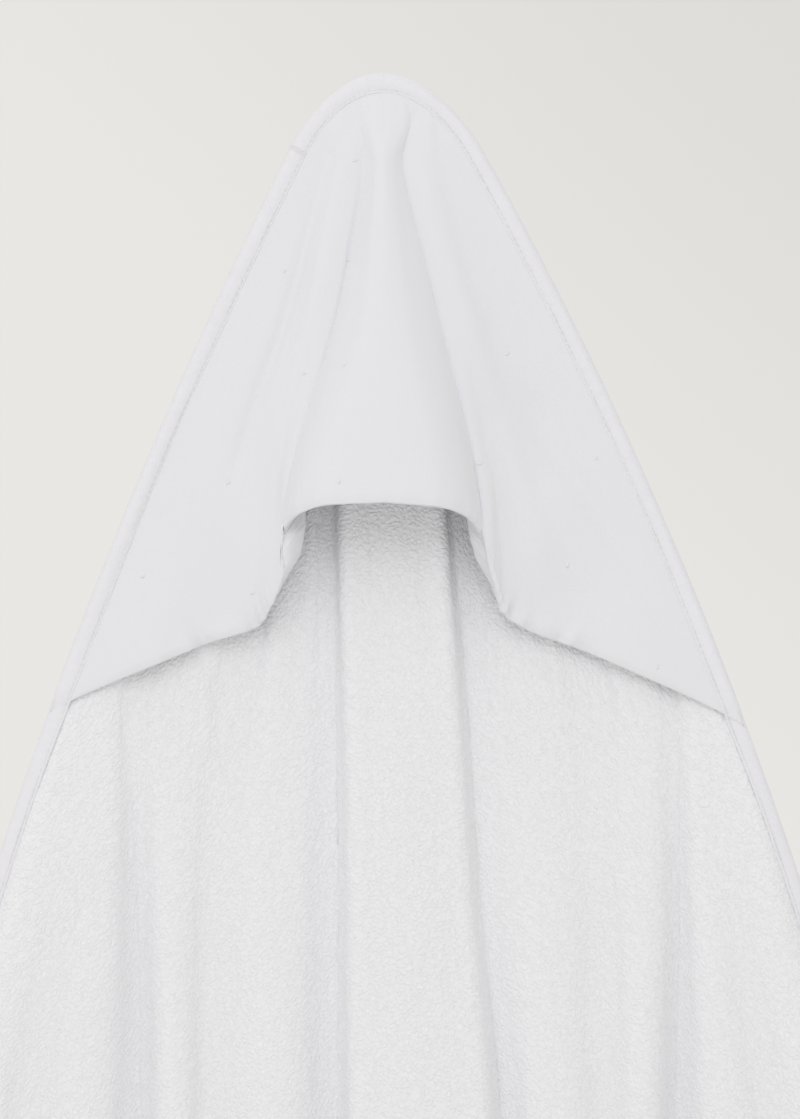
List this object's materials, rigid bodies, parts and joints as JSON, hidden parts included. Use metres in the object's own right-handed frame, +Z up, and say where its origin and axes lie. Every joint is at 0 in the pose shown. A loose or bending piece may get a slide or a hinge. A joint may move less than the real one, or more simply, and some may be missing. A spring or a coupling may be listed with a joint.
{
  "type": "hooded baby towel",
  "caption": "Square terry baby towel with a flat-woven hood sewn over one corner and a narrow bound edge, hanging in folds by a tape loop behind the hood.",
  "frame": {"origin": "inside of the top of the hanging loop, where the hook holds it", "axes": "+Z up, the hood's mouth faces -Y, +X to the right as seen from the front; the towel hangs at rest on its hook"},
  "size_m": [0.5795, 0.0855, 1.3557],
  "materials": {
    "terry_cotton": "white looped terry pile, matt",
    "plain_cotton": "white fine flat-woven cotton, matt",
    "binding_tape": "white woven cotton bias tape, matt",
    "sewing_thread": "white spun thread, slight sheen",
    "label_satin": "blank white satin ribbon"
  },
  "bodies": {
    "towel": {"towel_body": "terry_cotton", "hood_lining": "plain_cotton", "hood_outer": "plain_cotton", "hood_mouth_thread": "sewing_thread", "edge_binding": "binding_tape", "binding_needle_thread": "sewing_thread", "binding_bobbin_thread": "sewing_thread", "loop_bar_tack_left": "sewing_thread", "loop_bar_tack_right": "sewing_thread", "care_label_thread": "sewing_thread"},
    "hanging_loop": {"hanging_loop": "binding_tape"},
    "care_label": {"care_label": "label_satin"}
  },
  "joints": [
    {"name": "loop_swing", "type": "hinge", "parent": "towel", "child": "hanging_loop", "pos_m": [0.0032, -0.0079, -0.03076], "axis": [-1, 0, 0], "range_deg": [0, 140]},
    {"name": "label_flip", "type": "hinge", "parent": "towel", "child": "care_label", "pos_m": [-0.20429, -0.01163, -0.51028], "axis": [-0.2437, -0.0018, -0.9699], "range_deg": [-15, 100]}
  ]
}
